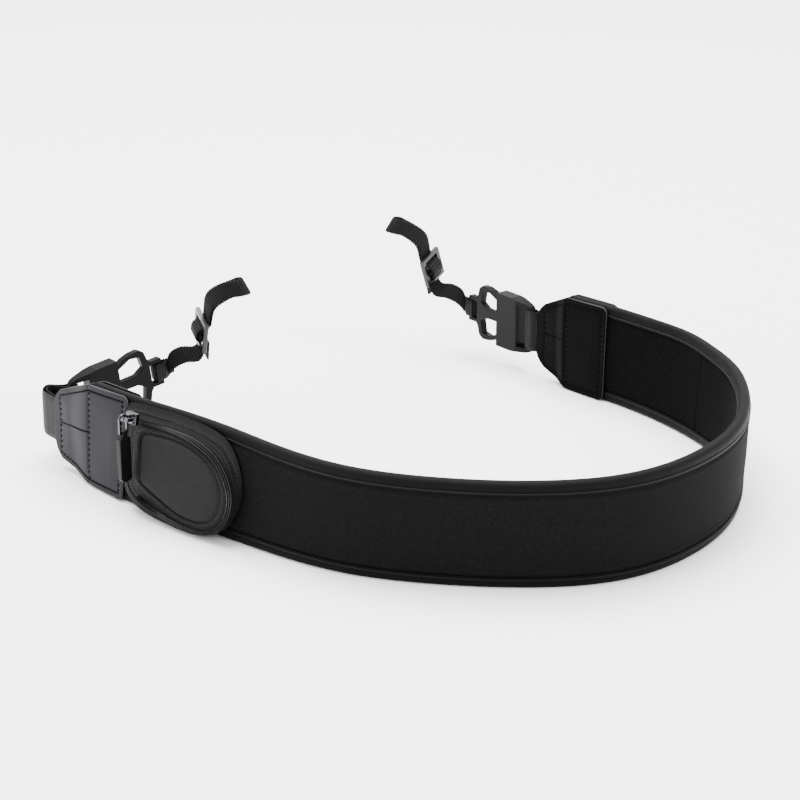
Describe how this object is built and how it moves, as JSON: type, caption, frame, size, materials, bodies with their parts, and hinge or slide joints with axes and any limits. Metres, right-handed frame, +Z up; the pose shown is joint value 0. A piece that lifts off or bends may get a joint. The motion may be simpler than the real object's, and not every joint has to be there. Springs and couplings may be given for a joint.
{
  "type": "camera neck strap",
  "caption": "Padded camera neck strap with leather tabs, quick-release buckles, ribbed webbing for the camera lugs and a zipped card pocket.",
  "frame": {"origin": "centre of the bounding box's bottom", "axes": "+X to the right in the picture, +Y away from the camera, +Z up; the strap stands on its lower edge"},
  "size_m": [0.3776, 0.38, 0.0938],
  "materials": {
    "foam_rubber": "matt foam rubber with a fine speckle",
    "mesh_lining": "ribbed mesh",
    "edge_binding": "satin woven binding",
    "smooth_leather": "smooth satin leather",
    "smooth_webbing": "smooth flat webbing",
    "ribbed_webbing": "ribbed webbing",
    "moulded_plastic": "satin moulded plastic",
    "zip_nylon": "nylon coil",
    "bright_metal": "bright plated metal",
    "pull_rubber": "smooth rubber"
  },
  "bodies": {
    "strap": {"bottom_binding": "edge_binding", "buckle_female_left": "moulded_plastic", "buckle_female_right": "moulded_plastic", "buckle_male_left": "moulded_plastic", "buckle_male_right": "moulded_plastic", "buckle_webbing_left": "smooth_webbing", "buckle_webbing_right": "smooth_webbing", "lining_panel": "mesh_lining", "lug_slider_left": "moulded_plastic", "lug_slider_right": "moulded_plastic", "lug_webbing_left": "ribbed_webbing", "lug_webbing_right": "ribbed_webbing", "outer_panel": "foam_rubber", "pocket_panel": "foam_rubber", "pocket_wall": "foam_rubber", "tab_inner_left": "smooth_leather", "tab_inner_right": "smooth_leather", "tab_outer_left": "smooth_leather", "tab_outer_right": "smooth_leather", "top_binding": "edge_binding", "zip_coil": "zip_nylon", "zip_slider": "bright_metal"},
    "zip_pull": {"pull_link": "bright_metal", "pull_tab": "pull_rubber"}
  },
  "joints": [
    {"name": "zip_pull_swing", "type": "hinge", "parent": "strap", "child": "zip_pull", "pos_m": [-0.14058, -0.09143, 0.05378], "axis": [-0.711, 0.7032, 0], "range_deg": [0, 140]}
  ]
}
